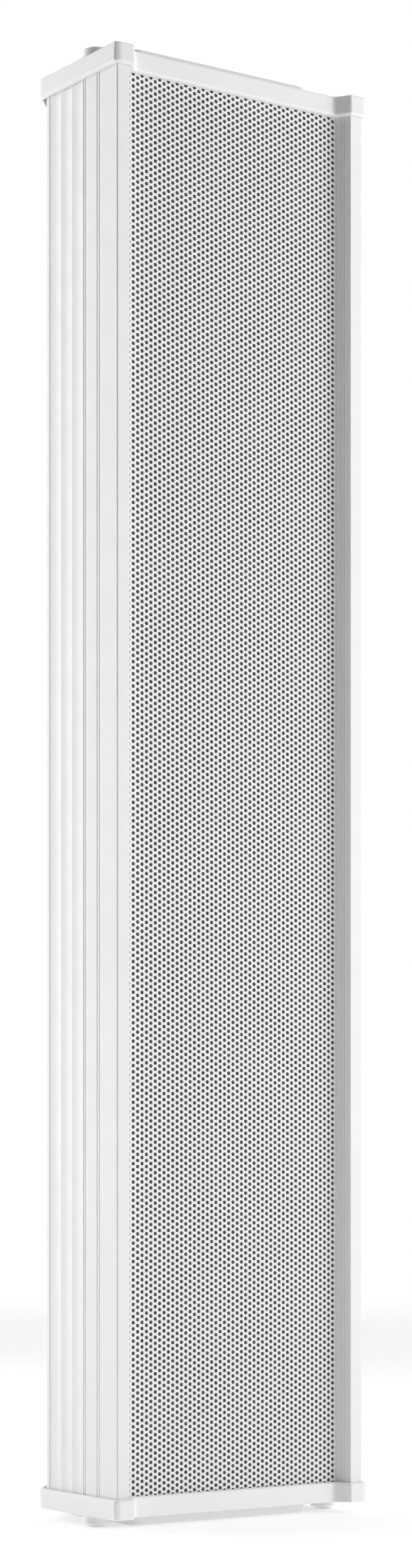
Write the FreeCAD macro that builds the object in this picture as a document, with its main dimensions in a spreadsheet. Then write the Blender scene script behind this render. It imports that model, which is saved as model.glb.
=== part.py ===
import FreeCAD, Part

# A column loudspeaker: an extruded aluminium cabinet with a perforated front grille, closed by two
# moulded end caps, with four cone drivers and a dome tweeter on a baffle behind the grille.
#
# Frame: millimetres, +Z up. The origin is on the floor, under the middle of the cabinet.
# The grille faces -Y and the wall side faces +Y.

import math
import os

import Sketcher

FRONT_UP = FreeCAD.Rotation(FreeCAD.Vector(1, 0, 0), 90)  # a part's own +Z then points to the front
BACK_UP = FreeCAD.Rotation(FreeCAD.Vector(1, 0, 0), -90)  # a part's own +Z then points to the back
UPRIGHT = FreeCAD.Rotation()
UPSIDE_DOWN = FreeCAD.Rotation(FreeCAD.Vector(1, 0, 0), 180)

doc = FreeCAD.newDocument("column_speaker")
sheet = doc.addObject("Spreadsheet::Sheet", "Sizes")

SIZES = {
    # cabinet extrusion
    "cab_width": 149.4,
    "cab_depth": 102.0,
    "cab_visible": 697.25,  # the length that shows between the two caps
    "wall": 2.5,
    "side_depth": 64.9,  # the flat side, before the back corner's slope
    "back_half": 42.0,
    "edge_radius": 0.7,
    "corner_radius": 2.0,
    "post_half": 67.46,  # from the middle to the front edge of each post
    "grille_half": 64.2,  # from the middle to the post where it meets the grille
    "grille_depth": 8.4,
    "slot_half": 67.1,
    "slot_back": 10.15,
    "lip_back": 11.7,
    "groove_width": 0.9,
    "groove_depth": 0.45,
    "flute_start": 31.0,
    "flute_width": 10.1,
    "flute_depth": 0.4,
    "ledge_half": 63.0,
    "ledge_front": 16.8,
    "ledge_back": 18.3,
    "port_half": 64.3,
    "port_front": 21.7,
    "port_back": 31.3,
    "rail_half": 37.5,
    "rail_front": 96.2,
    "rail_back": 97.4,
    "rail_width": 7.0,
    "rear_port_radius": 4.6,
    # end caps
    "rim_height": 10.1,
    "cap_plate": 3.0,
    "cap_gasket": 1.0,
    "cap_overhang": 2.5,
    "cap_draft": 2.8,  # degrees
    "cap_clearance": 0.12,
    "block_width": 8.8,
    "recess_depth": 5.0,
    "recess_half": 60.9,
    "recess_radius": 2.5,
    "cap_corner_radius": 1.5,
    "block_bow_width": 2.3,  # the front of each corner block curves back towards the side
    "block_bow_depth": 1.3,
    "block_bow_radius": 5.0,
    "block_edge_radius": 1.8,
    "cap_edge_radius": 0.8,
    "rim_edge_radius": 1.4,
    "slope_margin": 1.45,  # how much further the cap stands off the slope than off the side
    "slope_gap": 2.3,
    "foot_height": 5.4,
    "foot_left": 56.5,
    "foot_right": 51.5,
    "foot_front": 15.1,
    "foot_back": 76.0,
    "foot_corner": 6.0,
    "foot_round": 1.6,
    "boss_height": 4.2,
    "boss_radius": 7.0,
    "boss_round": 1.1,
    "boss_side": 69.5,
    "boss_front": 26.5,
    "rear_boss_side": 46.0,
    "rear_boss_back": 88.0,
    "cap_screw_radius": 2.0,
    "cap_head_radius": 4.2,
    "cap_head_height": 2.6,
    "cap_screw_reach": 16.0,
    # grille, cloth and baffle
    "sheet_half": 66.8,
    "sheet_thick": 0.6,
    "cloth_thick": 0.4,
    "end_gap": 0.2,
    "baffle_half": 71.8,
    "baffle_front": 18.5,
    "baffle_thick": 3.0,
    # cone drivers
    "driver_pitch": 130.0,
    "frame_half": 52.0,
    "frame_corner": 12.0,
    "frame_thick": 1.2,
    "frame_opening": 46.5,
    "frame_hole": 44.5,
    "cutout_radius": 47.2,
    "driver_screw_radius": 1.9,
    "driver_head_radius": 3.6,
    "driver_head_height": 2.2,
    "pole_radius": 12.4,
    "coil_inner": 12.8,
    "coil_outer": 13.8,
    "gap_outer": 14.1,
    "cone_radius": 38.0,
    "magnet_radius": 35.0,
    # tweeter
    "tweeter_half": 47.0,
    "tweeter_corner": 10.0,
    "tweeter_thick": 2.0,
    "tweeter_mouth": 40.2,
    "tweeter_cutout": 41.0,
    "tweeter_hole": 40.0,
    "throat_radius": 17.6,
    "dome_radius": 12.9,
    # rear connection
    "cover_z": 169.0,
    "cover_half": 36.0,
    "cover_half_height": 31.0,
    "cover_corner": 5.0,
    "cover_thick": 2.0,
    "cover_gasket": 1.2,
    "opening_half": 28.0,
    "opening_half_height": 23.0,
    "cover_screw_side": 31.5,
    "cover_screw_rise": 26.5,
    "gland_drop": 9.0,  # the gland's axis below the middle of the cover
    "gland_thread": 8.0,
    "gland_hex": 22.0,  # across flats
    "cable_radius": 3.5,
    "terminal_rise": 12.5,
    # wall bracket inserts
    "insert_span": 50.0,
    "insert_rise": 300.0,
    "insert_bore": 2.5,
    "insert_barrel": 4.4,
    "insert_flange": 5.5,
    # line transformer and crossover
    "chassis_half": 38.0,
    "chassis_thick": 1.5,
    "core_half": 24.0,
    "core_half_height": 20.0,
    "core_stack": 14.0,
}


class Size:
    """A length: its value in millimetres and the sheet expression that gives it."""

    def __init__(self, value, text):
        self.value = value
        self.text = text

    def __add__(self, other):
        other = as_size(other)
        return Size(self.value + other.value, f"({self.text} + {other.text})")

    def __radd__(self, other):
        return as_size(other) + self

    def __sub__(self, other):
        other = as_size(other)
        return Size(self.value - other.value, f"({self.text} - {other.text})")

    def __rsub__(self, other):
        return as_size(other) - self

    def __mul__(self, other):
        other = as_size(other)
        return Size(self.value * other.value, f"({self.text} * {other.text})")

    def __rmul__(self, other):
        return as_size(other) * self

    def __truediv__(self, other):
        other = as_size(other)
        return Size(self.value / other.value, f"({self.text} / {other.text})")

    def __neg__(self):
        return Size(-self.value, f"(-1 * {self.text})")


def as_size(number):
    return number if isinstance(number, Size) else Size(float(number), repr(float(number)))


for row, (alias, number) in enumerate(SIZES.items(), start=1):
    sheet.set(f"A{row}", alias)
    sheet.set(f"B{row}", str(number))
    sheet.setAlias(f"B{row}", alias)
doc.recompute()

dim = {alias: Size(number, f"Sizes.{alias}") for alias, number in SIZES.items()}
nodes = {}  # node name: the document object that holds it


def at_depth(depth):
    """World Y of a depth measured back from the front plane of the cabinet's posts."""
    return as_size(depth) - dim["cab_depth"] / 2


# ---------------------------------------------------------------- levels, from the floor up
cap_low = dim["foot_height"]
rim_low = cap_low + dim["rim_height"]
rim_high = rim_low + dim["cab_visible"]
cap_high = rim_high + dim["rim_height"]
cab_low = cap_low + dim["cap_plate"] + dim["cap_gasket"]
cab_length = cap_high - cap_low - 2 * (dim["cap_plate"] + dim["cap_gasket"])
mid_height = (cap_low + cap_high) / 2


# ---------------------------------------------------------------- helpers
def bind(obj, path, size):
    """Tie one property of an object to the sheet."""
    obj.setExpression(path, as_size(size).text)


def place(obj, rotation=UPRIGHT, x=0.0, y=0.0, z=0.0):
    """Give an object its Placement, with its position bound to the sheet."""
    x, y, z = as_size(x), as_size(y), as_size(z)
    obj.Placement = FreeCAD.Placement(FreeCAD.Vector(x.value, y.value, z.value), rotation)
    bind(obj, "Placement.Base.x", x)
    bind(obj, "Placement.Base.y", y)
    bind(obj, "Placement.Base.z", z)


def new_body(name, rotation=UPRIGHT, x=0.0, y=0.0, z=0.0):
    body = doc.addObject("PartDesign::Body", name)
    body.Label = name
    place(body, rotation, x, y, z)
    nodes[name] = body
    return body


def new_sketch(body, role="XY_Plane", height=0.0):
    """A sketch on one of the body's own origin planes, raised by a bound height."""
    sketch = body.newObject("Sketcher::SketchObject", f"{body.Name}_sketch")
    plane = next(o for o in body.Origin.OriginFeatures if o.Role == role)
    sketch.AttachmentSupport = [(plane, "")]
    sketch.MapMode = "FlatFace"
    height = as_size(height)
    sketch.AttachmentOffset = FreeCAD.Placement(FreeCAD.Vector(0, 0, height.value), FreeCAD.Rotation())
    bind(sketch, "AttachmentOffset.Base.z", height)
    return sketch


def pin_point(sketch, geometry, end, x, y):
    """Hold one point of a sketch at bound coordinates."""
    for kind, size, axis in (("DistanceX", x, -2), ("DistanceY", y, -1)):
        if abs(size.value) < 1e-9:
            sketch.addConstraint(Sketcher.Constraint("PointOnObject", geometry, end, axis))
        else:
            index = sketch.addConstraint(Sketcher.Constraint(kind, -1, 1, geometry, end, size.value))
            sketch.setExpression(f"Constraints[{index}]", size.text)


def arc_through(start, end, sagitta):
    """The arc from start to end that stands off its chord by sagitta, to the left if positive.

    A sketch holds its arcs anticlockwise, so an arc that bulges to the left runs from end to start.
    """
    ahead = end - start
    left = FreeCAD.Vector(-ahead.y, ahead.x, 0).normalize()
    height = abs(sagitta)
    radius = (ahead.Length**2 / 4 + height**2) / (2 * height)
    centre = start + ahead / 2 + left * (height - radius) * (1 if sagitta > 0 else -1)
    angles = [math.atan2((p - centre).y, (p - centre).x) for p in (start, end)]
    if sagitta > 0:
        angles.reverse()
    if angles[1] < angles[0]:
        angles[1] += 2 * math.pi
    return Part.ArcOfCircle(Part.Circle(centre, FreeCAD.Vector(0, 0, 1), radius), *angles)


def outline(sketch, points):
    """A closed outline. Each point is (x, y) or (x, y, sagitta of the arc to the next point)."""
    corners = [(as_size(p[0]), as_size(p[1])) for p in points]
    bulges = [p[2] if len(p) > 2 else 0 for p in points]
    first = sketch.GeometryCount
    starts = []  # which end of each piece of the outline, 1 or 2, is its first point
    for i, bulge in enumerate(bulges):
        here, after = corners[i], corners[(i + 1) % len(corners)]
        start = FreeCAD.Vector(here[0].value, here[1].value, 0)
        end = FreeCAD.Vector(after[0].value, after[1].value, 0)
        sketch.addGeometry(arc_through(start, end, bulge) if bulge else Part.LineSegment(start, end), False)
        starts.append(2 if bulge > 0 else 1)
    for i, (x, y) in enumerate(corners):
        before = (i - 1) % len(corners)
        pin_point(sketch, first + i, starts[i], x, y)
        sketch.addConstraint(
            Sketcher.Constraint("Coincident", first + before, 3 - starts[before], first + i, starts[i])
        )
        if bulges[i]:
            radius = sketch.Geometry[first + i].Radius
            sketch.addConstraint(Sketcher.Constraint("Radius", first + i, radius))


def rounded(corners):
    """Outline points for a polygon whose corners are (x, y) or (x, y, radius)."""
    points = []
    for i, corner in enumerate(corners):
        x, y = as_size(corner[0]), as_size(corner[1])
        if len(corner) < 3:
            points.append((x, y))
            continue
        here = FreeCAD.Vector(x.value, y.value, 0)
        ways = []
        for other in (corners[i - 1], corners[(i + 1) % len(corners)]):
            way = FreeCAD.Vector(as_size(other[0]).value, as_size(other[1]).value, 0) - here
            ways.append(way.normalize())
        half_turn = (math.pi - ways[0].getAngle(ways[1])) / 2
        radius = as_size(corner[2]).value
        reach = radius * math.tan(half_turn)
        bulge = radius * (1 - math.cos(half_turn))
        if ways[0].cross(ways[1]).z < 0:
            bulge = -bulge
        points.append((x + ways[0].x * reach, y + ways[0].y * reach, bulge))
        points.append((x + ways[1].x * reach, y + ways[1].y * reach))
    return points


def both_sides(corners):
    """A whole outline from its right half, by reflecting the corners left to right."""
    return corners + [(-as_size(c[0]), *c[1:]) for c in reversed(corners)]


def circle(sketch, x, y, radius):
    x, y, radius = as_size(x), as_size(y), as_size(radius)
    centre = FreeCAD.Vector(x.value, y.value, 0)
    index = sketch.addGeometry(Part.Circle(centre, FreeCAD.Vector(0, 0, 1), radius.value), False)
    pin_point(sketch, index, 3, x, y)
    constraint = sketch.addConstraint(Sketcher.Constraint("Radius", index, radius.value))
    sketch.setExpression(f"Constraints[{constraint}]", radius.text)


def rectangle(sketch, x_low, x_high, y_low, y_high, radius=None):
    """A rectangle, with rounded corners when a radius is given."""
    corners = [(x_low, y_low), (x_high, y_low), (x_high, y_high), (x_low, y_high)]
    if radius is not None:
        corners = [(x, y, radius) for x, y in corners]
    outline(sketch, rounded(corners))


def pad(body, sketch, length, taper=None, reverse=False):
    feature = body.newObject("PartDesign::Pad", f"{body.Name}_pad")
    feature.Profile = sketch
    feature.Reversed = reverse
    bind(feature, "Length", length)
    if taper is not None:
        bind(feature, "TaperAngle", taper)
    doc.recompute()
    return feature


def pocket(body, sketch, depth, reverse=False):
    """Cut a sketch into the body, and stop if nothing was cut."""
    before = body.Shape.Volume
    feature = body.newObject("PartDesign::Pocket", f"{body.Name}_pocket")
    feature.Profile = sketch
    feature.Reversed = reverse
    bind(feature, "Length", depth)
    doc.recompute()
    if body.Shape.Volume > before - 1e-3:
        raise RuntimeError(f"{feature.Name} cuts nothing")
    return feature


def revolve(body, points):
    """Turn a half section, given as (radius, height) points, about the body's own Z axis."""
    sketch = new_sketch(body, "XZ_Plane")
    outline(sketch, points)
    feature = body.newObject("PartDesign::Revolution", f"{body.Name}_turned")
    feature.Profile = sketch
    feature.ReferenceAxis = (sketch, ["V_Axis"])
    feature.Angle = 360.0
    doc.recompute()
    return feature


def fillet(body, feature, radius, chosen):
    """Round the edges of a feature that the test picks."""
    edges = [f"Edge{i}" for i, edge in enumerate(feature.Shape.Edges, start=1) if chosen(edge)]
    rounding = body.newObject("PartDesign::Fillet", f"{body.Name}_fillet")
    rounding.Base = (feature, edges)
    bind(rounding, "Radius", radius)
    doc.recompute()
    return rounding


def lies_at(height):
    """A test for the edges that lie wholly at one height of their body."""

    def test(edge):
        levels = [v.Z for v in edge.Vertexes] + [edge.CenterOfMass.z]
        return edge.Length > 1e-3 and all(abs(level - height) < 1e-3 for level in levels)

    return test


def box_body(name, x, y, z):
    """A plain block, given as its low and high value on each axis in the world frame."""
    body = new_body(name)
    sketch = new_sketch(body, "XY_Plane", z[0])
    rectangle(sketch, x[0], x[1], y[0], y[1])
    pad(body, sketch, z[1] - z[0])
    return body


# ---------------------------------------------------------------- cabinet
half_width = dim["cab_width"] / 2


def shell_corners(offset, front, half_front, slope_margin=0.0):
    """The right half of the cabinet's outer outline, grown outwards by offset, and more on the slope."""
    offset, slope_margin = as_size(offset), as_size(slope_margin)
    slope = math.atan2(half_width.value - SIZES["back_half"], SIZES["cab_depth"] - SIZES["side_depth"])
    side = half_width + offset
    side_end = at_depth(dim["side_depth"]) + offset * math.tan(slope / 2)
    back_end = dim["back_half"] + offset * math.tan((math.pi / 2 - slope) / 2)
    return [
        (half_front, front),
        (side, front, dim["edge_radius"] + offset * 0.3),
        (side, side_end + slope_margin / math.sin(slope), dim["corner_radius"] + offset),
        (
            back_end + slope_margin / math.cos(slope),
            dim["cab_depth"] / 2 + offset,
            dim["corner_radius"] + offset,
        ),
    ]


def make_cabinet():
    """The extrusion: an open-fronted channel with slots, screw ports and rails along its length."""
    body = new_body("cabinet_extrusion", z=cab_low)
    sketch = new_sketch(body)
    outer = shell_corners(0, at_depth(0), dim["post_half"])
    inner = shell_corners(-dim["wall"], at_depth(dim["lip_back"]), dim["grille_half"])
    inner = [inner[3][:2], inner[2][:2], inner[1][:2], inner[0][:2]]
    lip = [
        (dim["grille_half"], at_depth(dim["slot_back"])),
        (dim["slot_half"], at_depth(dim["slot_back"])),
        (dim["slot_half"], at_depth(dim["grille_depth"])),
        (dim["grille_half"], at_depth(dim["grille_depth"])),
    ]
    left_outer = [(-as_size(c[0]), *c[1:]) for c in reversed(outer)]
    left_inner = [(-as_size(c[0]), *c[1:]) for c in reversed(inner + lip)]
    outline(sketch, rounded(outer + left_outer + left_inner + inner + lip))
    pad(body, sketch, cab_length)

    wall_face = half_width - dim["wall"] / 2
    for side in (1, -1):
        ledges = new_sketch(body)
        for half, front, back in (
            (dim["ledge_half"], dim["ledge_front"], dim["ledge_back"]),
            (dim["port_half"], dim["port_front"], dim["port_back"]),
        ):
            low, high = sorted((side * half, side * wall_face), key=lambda size: size.value)
            rectangle(ledges, low, high, at_depth(front), at_depth(back))
        pad(body, ledges, cab_length)

        rails = new_sketch(body)
        rail_end = dim["rail_half"] + dim["rail_width"]
        low, high = sorted((side * dim["rail_half"], side * rail_end), key=lambda size: size.value)
        rectangle(rails, low, high, at_depth(dim["rail_front"]), at_depth(dim["rail_back"]))
        pad(body, rails, cab_length)

        port = new_sketch(body)
        circle(port, side * dim["rear_boss_side"], at_depth(dim["rear_boss_back"]), dim["rear_port_radius"])
        pad(body, port, cab_length)

    ports = new_sketch(body)
    for x, y in cap_screw_places():
        circle(ports, x, y, dim["cap_screw_radius"] + 0.1)
    pocket(body, ports, cab_length, reverse=True)

    make_side_grooves(body)
    make_post_grooves(body)
    make_back_openings(body)


def cap_screw_places():
    """Where the four screws of a cap stand, in plan."""
    return [
        (side * dim[across], at_depth(dim[back]))
        for across, back in (("boss_side", "boss_front"), ("rear_boss_side", "rear_boss_back"))
        for side in (1, -1)
    ]


def make_side_grooves(body):
    """The pairs of fine grooves and the three shallow flutes on each side."""
    sketch = new_sketch(body)
    width, depth = dim["groove_width"], dim["groove_depth"]
    flute, start = dim["flute_width"], dim["flute_start"]
    clear = 0.2  # the cutting shapes start this far outside the wall
    for side in (1, -1):
        face = side * half_width
        beyond = side * (half_width + clear)
        for back in (16.1, 18.1, 28.8, 30.4, start + 3 * flute + 0.45):
            middle = at_depth(back)
            outline(
                sketch,
                [
                    (beyond, middle - width / 2),
                    (face, middle - width / 2),
                    (side * (half_width - depth), middle),
                    (face, middle + width / 2),
                    (beyond, middle + width / 2),
                ],
            )
    pocket(body, sketch, cab_length, reverse=True)
    flutes = new_sketch(body)
    for side in (1, -1):
        face = side * half_width
        beyond = side * (half_width + clear)
        for count in range(3):
            low = at_depth(start + count * flute + 0.05)
            high = at_depth(start + (count + 1) * flute - 0.05)
            outline(
                flutes,
                [(face, low, side * SIZES["flute_depth"]), (face, high), (beyond, high), (beyond, low)],
            )
    pocket(body, flutes, cab_length, reverse=True)


def make_post_grooves(body):
    """Two fine grooves down the inner face of each front post."""
    sketch = new_sketch(body)
    lean = (SIZES["post_half"] - SIZES["grille_half"]) / SIZES["grille_depth"]
    for side in (1, -1):
        for depth in (3.7, 5.4):
            face = dim["post_half"] - depth * lean
            outline(
                sketch,
                [
                    (side * (face - 0.3), at_depth(depth - 0.45)),
                    (side * (face + 0.45), at_depth(depth)),
                    (side * (face - 0.3), at_depth(depth + 0.45)),
                ],
            )
    pocket(body, sketch, cab_length, reverse=True)


def make_back_openings(body):
    """The connection opening, its cover's screw holes and the wall bracket's insert holes."""
    back = dim["cab_depth"] / 2
    cut = dim["wall"] + 0.2
    opening = new_sketch(body, "XZ_Plane", -(back + 0.1))
    centre = dim["cover_z"] - cab_low
    half, rise = dim["opening_half"], dim["opening_half_height"]
    rectangle(opening, -half, half, centre - rise, centre + rise, 3.0)
    for x in (-dim["cover_screw_side"], dim["cover_screw_side"]):
        for z in (centre - dim["cover_screw_rise"], centre + dim["cover_screw_rise"]):
            circle(opening, x, z, dim["driver_screw_radius"] + 0.1)
    for x in (-dim["insert_span"] / 2, dim["insert_span"] / 2):
        for z in (-dim["insert_rise"] / 2, dim["insert_rise"] / 2):
            circle(opening, x, z + mid_height - cab_low, dim["insert_barrel"] + 0.05)
    pocket(body, opening, cut, reverse=True)


# ---------------------------------------------------------------- end caps
def make_cap(name, flip, level, rotation):
    """An end cap. Its own Z runs outwards from the open rim; flip turns its plan front to back."""
    body = new_body(name, rotation, z=level)
    over = dim["cap_overhang"]
    rim = shell_corners(over, at_depth(-over), half_width - dim["block_width"], dim["slope_margin"])
    recess = (dim["recess_half"], at_depth(dim["recess_depth"]), dim["recess_radius"])
    block_edge = (*rim[0], dim["block_edge_radius"])
    side, front = rim[1][:2]
    block_bow = (side - dim["block_bow_width"], front, dim["block_bow_radius"])
    block_corner = (side, front + dim["block_bow_depth"], dim["cap_corner_radius"])
    right = [recess, block_edge, block_bow, block_corner, rim[2], rim[3]]
    sketch = new_sketch(body)
    outline(sketch, flipped(rounded(both_sides(right)), flip))
    pad(body, sketch, dim["rim_height"], taper=-dim["cap_draft"])

    foot = new_sketch(body, height=dim["rim_height"])
    foot_front, foot_back = at_depth(dim["foot_front"]), at_depth(dim["foot_back"])
    corners = [(-dim["foot_left"], foot_front), (dim["foot_right"], foot_front)]
    corners += [(dim["foot_right"], foot_back), (-dim["foot_left"], foot_back)]
    corners = [(x, y, dim["foot_corner"]) for x, y in corners]
    outline(foot, flipped(rounded(corners), flip))
    pad(body, foot, dim["foot_height"])

    bosses = new_sketch(body, height=dim["rim_height"])
    for x, y in cap_screw_places():
        circle(bosses, x, y * flip, dim["boss_radius"])
    shape = pad(body, bosses, dim["boss_height"], taper=-4.0)

    plate_top = SIZES["rim_height"]
    shape = fillet(body, shape, dim["boss_round"], lies_at(plate_top + SIZES["boss_height"]))
    shape = fillet(body, shape, dim["foot_round"], lies_at(plate_top + SIZES["foot_height"]))
    shape = fillet(
        body,
        shape,
        dim["cap_edge_radius"],
        lambda edge: lies_at(plate_top)(edge) and not is_inner(edge),
    )
    fillet(body, shape, dim["rim_edge_radius"], lies_at(0))

    hollow = new_sketch(body)
    gap = dim["cap_clearance"]
    shell_in = shell_corners(gap, at_depth(-gap), dim["post_half"] - gap, dim["slope_gap"])
    behind = (dim["grille_half"] - gap, at_depth(dim["grille_depth"] - 0.1))
    right = [behind, *shell_in]
    outline(hollow, flipped(rounded(both_sides(right)), flip))
    pocket(body, hollow, dim["rim_height"] - dim["cap_plate"], reverse=True)

    outside = dim["rim_height"] + dim["boss_height"] + 0.1
    holes, seats = new_sketch(body, height=outside), new_sketch(body, height=outside)
    for x, y in cap_screw_places():
        circle(holes, x, y * flip, dim["cap_screw_radius"] + 0.3)
        circle(seats, x, y * flip, dim["cap_head_radius"] + 0.4)
    pocket(body, holes, dim["cap_plate"] + dim["boss_height"] + 0.2)
    pocket(body, seats, dim["cap_head_height"] + 0.9)


def flipped(points, flip):
    """Outline points turned front to back when flip is -1."""
    if flip == 1:
        return points
    return [(p[0], -as_size(p[1]), *(-b for b in p[2:])) for p in points]


def is_inner(edge):
    """True for the root edges of the foot and the bosses, which stand inside the cap's outline."""
    if isinstance(edge.Curve, Part.Circle) and abs(edge.Curve.Radius - SIZES["boss_radius"]) < 0.01:
        return True
    reach = SIZES["foot_left"] + 0.1
    low, high = at_depth(SIZES["foot_front"]).value - 0.1, at_depth(SIZES["foot_back"]).value + 0.1
    where = [v.Point for v in edge.Vertexes] + [edge.CenterOfMass]
    inside = [all(low < turn * p.y < high for p in where) for turn in (1, -1)]
    return any(inside) and all(abs(p.x) < reach for p in where)


def make_gasket(name, level):
    """The gasket between an end cap and the end of the extrusion."""
    body = new_body(name, z=level)
    sketch = new_sketch(body)
    corners = shell_corners(-0.3, at_depth(dim["grille_depth"] + 2), dim["grille_half"])
    corners = [(dim["grille_half"], corners[0][1]), (corners[1][0], corners[1][1]), corners[2], corners[3]]
    outline(sketch, rounded(both_sides(corners)))
    inside = [(56.0, at_depth(24)), (56.0, at_depth(66)), (32.0, at_depth(92))]
    outline(sketch, rounded(both_sides([(*corner, 6.0) for corner in inside])))
    for x, y in cap_screw_places():
        circle(sketch, x, y, dim["cap_screw_radius"] + 0.4)
    pad(body, sketch, dim["cap_gasket"])


# ---------------------------------------------------------------- fasteners
def screw_group(name, places, head_radius, head_height, shank_radius, shank_length):
    """Identical pan head screws as one node of separate solids.

    places holds (position of the underside of the head, direction from the shank to the head).
    """
    solids = []
    for position, up in places:
        head = Part.makeCylinder(head_radius, head_height, position, up)
        crown = [e for e in head.Edges if abs((e.CenterOfMass - position).dot(up) - head_height) < 1e-6]
        head = head.makeFillet(head_height * 0.45, crown)
        side = up.cross(FreeCAD.Vector(0.31, 0.52, 0.79)).normalize()
        for turn in (0, 90):
            arm = FreeCAD.Rotation(up, turn).multVec(side)
            wide = FreeCAD.Rotation(up, turn + 90).multVec(side)
            length, width, deep = head_radius * 1.15, head_radius * 0.26, head_height * 0.55
            corner = position + up * (head_height - deep) - arm * (length / 2) - wide * (width / 2)
            loop = [corner, corner + arm * length, corner + arm * length + wide * width]
            loop += [corner + wide * width, corner]
            head = head.cut(Part.Face(Part.makePolygon(loop)).extrude(up * (deep + 1)))
        shank = Part.makeCylinder(shank_radius, shank_length, position, -up)
        solids.append(head.fuse(shank).removeSplitter().Solids[0])
    node = doc.addObject("Part::Feature", name)
    node.Label = name
    node.Shape = Part.makeCompound(solids)
    node.Placement = FreeCAD.Placement()
    nodes[name] = node


def make_cap_screws():
    up = FreeCAD.Vector(0, 0, 1)
    sunk = SIZES["boss_height"] - SIZES["cap_head_height"] - 0.8
    places = []
    for x, y in cap_screw_places():
        places.append((FreeCAD.Vector(x.value, y.value, cap_high.value + sunk), up))
        places.append((FreeCAD.Vector(x.value, y.value, cap_low.value - sunk), -up))
    screw_group(
        "cap_screws",
        places,
        sheet.cap_head_radius,
        sheet.cap_head_height,
        sheet.cap_screw_radius,
        sheet.cap_screw_reach,
    )


# ---------------------------------------------------------------- grille, cloth and baffle
def make_front():
    """The sheets that slide into the cabinet's slots, from the front to the back."""
    half, gap = dim["sheet_half"], dim["end_gap"]
    span = (cab_low + gap, cab_low + cab_length - gap)
    face = at_depth(dim["grille_depth"] + 0.05)
    box_body("front_grille", (-half, half), (face, face + dim["sheet_thick"]), span)
    cloth = face + dim["sheet_thick"] + 0.05
    box_body("grille_cloth", (-half, half), (cloth, cloth + dim["cloth_thick"]), span)

    front = at_depth(dim["baffle_front"])
    body = new_body("front_baffle", FRONT_UP, y=front)
    sketch = new_sketch(body)
    rectangle(sketch, -dim["baffle_half"], dim["baffle_half"], *span)
    for index in range(5):
        centre = mid_height + (index - 2) * dim["driver_pitch"]
        tweeter = index == 2
        circle(sketch, 0, centre, dim["tweeter_cutout"] if tweeter else dim["cutout_radius"])
        hole = dim["tweeter_hole"] if tweeter else dim["frame_hole"]
        for x in (-hole, hole):
            for z in (centre - hole, centre + hole):
                circle(sketch, x, z, dim["driver_screw_radius"] + 0.1)
    pad(body, sketch, dim["baffle_thick"], reverse=True)


def make_driver_screws():
    up = FreeCAD.Vector(0, -1, 0)
    front = at_depth(SIZES["baffle_front"]).value
    places = []
    for index in range(5):
        centre = mid_height.value + (index - 2) * SIZES["driver_pitch"]
        hole = SIZES["tweeter_hole"] if index == 2 else SIZES["frame_hole"]
        thick = SIZES["tweeter_thick"] if index == 2 else SIZES["frame_thick"]
        for x in (-hole, hole):
            for z in (centre - hole, centre + hole):
                places.append((FreeCAD.Vector(x, front - thick, z), up))
    screw_group(
        "driver_screws",
        places,
        sheet.driver_head_radius,
        sheet.driver_head_height,
        sheet.driver_screw_radius,
        8.0,
    )


# ---------------------------------------------------------------- cone drivers
# Each driver is drawn about its own Z axis, with 0 at the baffle's front face and +Z to the front.
def make_basket(name, seat):
    body = new_body(name, *seat)
    revolve(
        body,
        [
            (43.5, 0),
            (46.5, 0),
            (46.5, -4),
            (35.5, -29.5),
            (18, -29.5),
            (18, -28),
            (34.3, -28),
            (36.6, -22.7),
            (34.6, -22.7),
            (34.6, -21.6),
            (37.1, -21.6),
            (44.9, -3.4),
            (44.9, -1.5),
            (43.5, -1.5),
        ],
    )
    flange = new_sketch(body)
    half = dim["frame_half"]
    rectangle(flange, -half, half, -half, half, dim["frame_corner"])
    circle(flange, 0, 0, dim["frame_opening"] - 0.4)
    for x in (-dim["frame_hole"], dim["frame_hole"]):
        for y in (-dim["frame_hole"], dim["frame_hole"]):
            circle(flange, x, y, dim["driver_screw_radius"] + 0.1)
    pad(body, flange, dim["frame_thick"])
    windows = new_sketch(body, height=-4.5)
    inner, outer, half_angle = 39.5, 44.4, math.radians(26)
    for quarter in range(4):
        middle = math.radians(90 * quarter)
        start, end = middle - half_angle, middle + half_angle
        inward = inner * (1 - math.cos(half_angle))
        outward = outer * (1 - math.cos(half_angle))
        outline(
            windows,
            [
                (inner * math.cos(start), inner * math.sin(start)),
                (outer * math.cos(start), outer * math.sin(start), -outward),
                (outer * math.cos(end), outer * math.sin(end)),
                (inner * math.cos(end), inner * math.sin(end), inward),
            ],
        )
    pocket(body, windows, 22.0)


def ring(name, seat, inner, outer, low, high):
    """A plain ring between two heights of its own axis."""
    body = new_body(name, *seat)
    sketch = new_sketch(body, height=low)
    circle(sketch, 0, 0, outer)
    circle(sketch, 0, 0, inner)
    pad(body, sketch, as_size(high) - low)


def make_steel(name, seat, hole, plate, pole, yoke):
    """The front plate and the yoke with its pole, as two solids. Each takes (radius, low, high)."""
    place_at = FreeCAD.Placement(
        FreeCAD.Vector(0, seat[2].value, seat[3].value), seat[0]
    )
    radius, low, high = plate
    front_plate = Part.makeCylinder(radius, high - low, FreeCAD.Vector(0, 0, low))
    front_plate = front_plate.cut(Part.makeCylinder(hole, high - low, FreeCAD.Vector(0, 0, low)))
    radius, low, high = yoke
    base = Part.makeCylinder(radius, high - low, FreeCAD.Vector(0, 0, low))
    post = Part.makeCylinder(pole[0], pole[1] - low, FreeCAD.Vector(0, 0, low))
    node = doc.addObject("Part::Feature", name)
    node.Label = name
    node.Shape = Part.makeCompound([front_plate, base.fuse(post).removeSplitter().Solids[0]])
    node.Placement = place_at
    nodes[name] = node


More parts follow.
